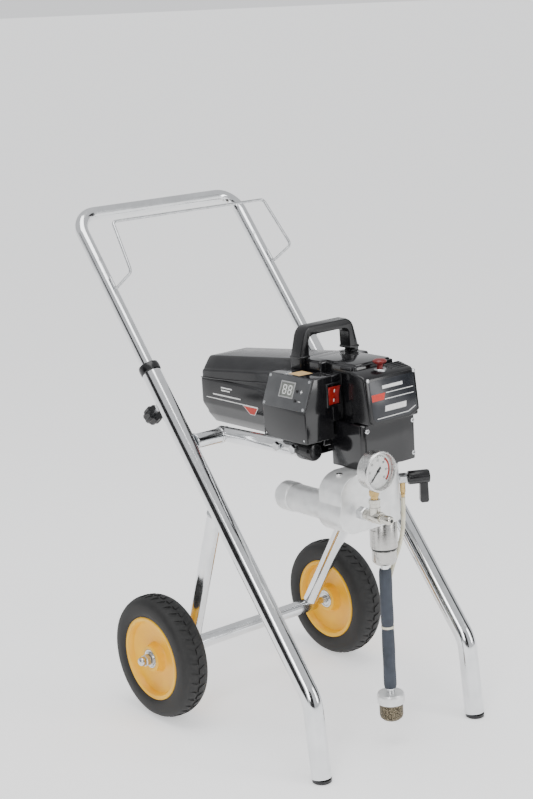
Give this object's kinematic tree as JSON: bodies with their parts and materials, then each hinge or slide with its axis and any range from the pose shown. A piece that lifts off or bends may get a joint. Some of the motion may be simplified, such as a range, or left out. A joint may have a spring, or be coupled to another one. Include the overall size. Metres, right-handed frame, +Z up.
{
  "type": "airless paint sprayer",
  "caption": "Piston pump paint sprayer with gauge, filter and suction tube, bolted between the rails of a wheeled tubular cart with a telescoping handle.",
  "frame": {"origin": "on the floor, centred under the machine: middle of its overall box in X and Y, height of the feet and tyres in Z", "axes": "+Z up, -Y the front with the pump, gauge and feet, +Y the handle end, X across the cart with the control box and gauge on the -X side"},
  "size_m": [0.488, 0.6792, 0.8409],
  "materials": {
    "chrome_tube": "polished chrome plate",
    "zinc_wire": "bright zinc plate",
    "polished_steel": "polished stainless steel",
    "cast_aluminium": "satin plated casting",
    "brass": "plain brass",
    "black_plastic": "moulded black plastic",
    "black_paint": "black gloss paint",
    "grey_plastic": "grey membrane panel",
    "label_film": "printed label film",
    "display_lcd": "liquid crystal window",
    "red_plastic": "red plastic",
    "dark_red_plastic": "dark red plastic",
    "yellow_plastic": "moulded yellow plastic",
    "tyre_rubber": "black tyre rubber",
    "black_rubber": "black rubber sheath",
    "sleeve_foam": "closed cell foam",
    "filter_mesh": "woven wire mesh",
    "hose_plastic": "cream plastic tube",
    "motor_winding": "varnished windings on steel",
    "circuit_board": "coated circuit board"
  },
  "bodies": {
    "frame": {"side_tube_left": "chrome_tube", "foot_plug_left": "black_plastic", "collar_left": "black_plastic", "strut_left": "chrome_tube", "rail_left": "chrome_tube", "rail_cap_left": "black_plastic", "side_tube_right": "chrome_tube", "foot_plug_right": "black_plastic", "collar_right": "black_plastic", "strut_right": "chrome_tube", "rail_right": "chrome_tube", "rail_cap_right": "black_plastic", "axle_tube": "chrome_tube", "axle": "polished_steel", "motor_cover": "black_plastic", "motor_frame": "polished_steel", "gear_housing": "black_paint", "front_cover": "black_plastic", "label_plate": "label_film", "carry_handle": "black_plastic", "mount_plate": "black_paint", "control_box": "black_paint", "control_panel": "grey_plastic", "display": "display_lcd", "circuit_board": "circuit_board", "switch_body": "black_plastic", "motor_lead": "black_rubber", "pump_block": "cast_aluminium", "filter_bowl": "cast_aluminium", "filter_element": "filter_mesh", "fluid_cylinder": "polished_steel", "suction_tube": "chrome_tube", "foam_sleeve": "sleeve_foam", "strainer_cap": "cast_aluminium", "strainer_mesh": "filter_mesh", "outlet_tee": "brass", "gauge_case": "polished_steel", "prime_valve": "polished_steel", "drain_hose": "hose_plastic"},
    "handle": {"handle_bow": "chrome_tube", "hose_rack": "zinc_wire"},
    "clamp_left": {"clamp_knob_left": "black_plastic"},
    "clamp_right": {"clamp_knob_right": "black_plastic"},
    "wheel_left": {"tyre_left": "tyre_rubber", "wheel_hub_left": "yellow_plastic", "wheel_bearing_left": "polished_steel"},
    "wheel_right": {"tyre_right": "tyre_rubber", "wheel_hub_right": "yellow_plastic", "wheel_bearing_right": "polished_steel"},
    "motor_rotor": {"rotor": "motor_winding"},
    "idler_gears": {"gear_cluster": "polished_steel"},
    "crankshaft": {"crank": "polished_steel"},
    "piston": {"drive_yoke": "polished_steel", "piston_rod": "polished_steel"},
    "prime_lever": {"prime_handle": "black_plastic"},
    "power_rocker": {"switch_rocker": "red_plastic"},
    "plus_button": {"button_plus": "black_plastic"},
    "minus_button": {"button_minus": "black_plastic"},
    "oiler": {"oiler_button": "dark_red_plastic"},
    "needle": {"gauge_needle": "black_plastic"}
  },
  "joints": [
    {"name": "wheel_left_spin", "type": "hinge", "parent": "frame", "child": "wheel_left", "pos_m": [-0.196, 0.11246, 0.1057], "axis": [1, 0, 0], "continuous": true},
    {"name": "wheel_right_spin", "type": "hinge", "parent": "frame", "child": "wheel_right", "pos_m": [0.196, 0.11246, 0.1057], "axis": [1, 0, 0], "continuous": true},
    {"name": "handle_slide", "type": "slide", "parent": "frame", "child": "handle", "axis": [0, 0.6361, 0.7716], "range_m": [-0.115, 0]},
    {"name": "clamp_left_turn", "type": "hinge", "parent": "frame", "child": "clamp_left", "pos_m": [-0.1695, 0.13242, 0.51647], "axis": [0, 0.7716, -0.6361], "range_deg": [0, 360]},
    {"name": "clamp_right_turn", "type": "hinge", "parent": "frame", "child": "clamp_right", "pos_m": [0.1695, 0.13242, 0.51647], "axis": [0, 0.7716, -0.6361], "range_deg": [0, 360]},
    {"name": "motor_spin", "type": "hinge", "parent": "frame", "child": "motor_rotor", "pos_m": [0, 0.04486, 0.53798], "axis": [0, 0.9997, -0.0262], "continuous": true},
    {"name": "idler_spin", "type": "hinge", "parent": "frame", "child": "idler_gears", "pos_m": [0, -0.13423, 0.57518], "axis": [0, 0.9997, -0.0262], "continuous": true},
    {"name": "crank_spin", "type": "hinge", "parent": "frame", "child": "crankshaft", "pos_m": [0, -0.15536, 0.53222], "axis": [0, 0.9997, -0.0262], "continuous": true},
    {"name": "piston_stroke", "type": "slide", "parent": "frame", "child": "piston", "axis": [0, 0.0262, 0.9997], "range_m": [-0.018, 0]},
    {"name": "prime_lever_turn", "type": "hinge", "parent": "frame", "child": "prime_lever", "pos_m": [0.0433, -0.25776, 0.44187], "axis": [0.866, -0.4998, 0.0131], "range_deg": [-90, 0]},
    {"name": "power_rocker_tilt", "type": "hinge", "parent": "frame", "child": "power_rocker", "pos_m": [-0.062, -0.19298, 0.58522], "axis": [1, 0, 0], "range_deg": [-18, 0]},
    {"name": "plus_button_press", "type": "slide", "parent": "frame", "child": "plus_button", "axis": [0.9272, -0.0098, -0.3745], "range_m": [0, 0.0015], "stiffness_N_per_m": 400, "springref_m": -0.001},
    {"name": "minus_button_press", "type": "slide", "parent": "frame", "child": "minus_button", "axis": [0.9272, -0.0098, -0.3745], "range_m": [0, 0.0015], "stiffness_N_per_m": 400, "springref_m": -0.001},
    {"name": "oiler_press", "type": "slide", "parent": "frame", "child": "oiler", "axis": [0, -0.0262, -0.9997], "range_m": [0, 0.004], "stiffness_N_per_m": 300, "springref_m": -0.003},
    {"name": "needle_turn", "type": "hinge", "parent": "frame", "child": "needle", "pos_m": [-0.079, -0.31352, 0.49005], "axis": [0, 0.9997, -0.0262], "range_deg": [0, 270], "stiffness_Nm_per_rad": 0.001, "springref_deg": -17.19}
  ],
  "couplings": [
    {"joint": "idler_spin", "follows": "motor_spin", "ratio": -0.3},
    {"joint": "crank_spin", "follows": "motor_spin", "ratio": 0.086667}
  ]
}
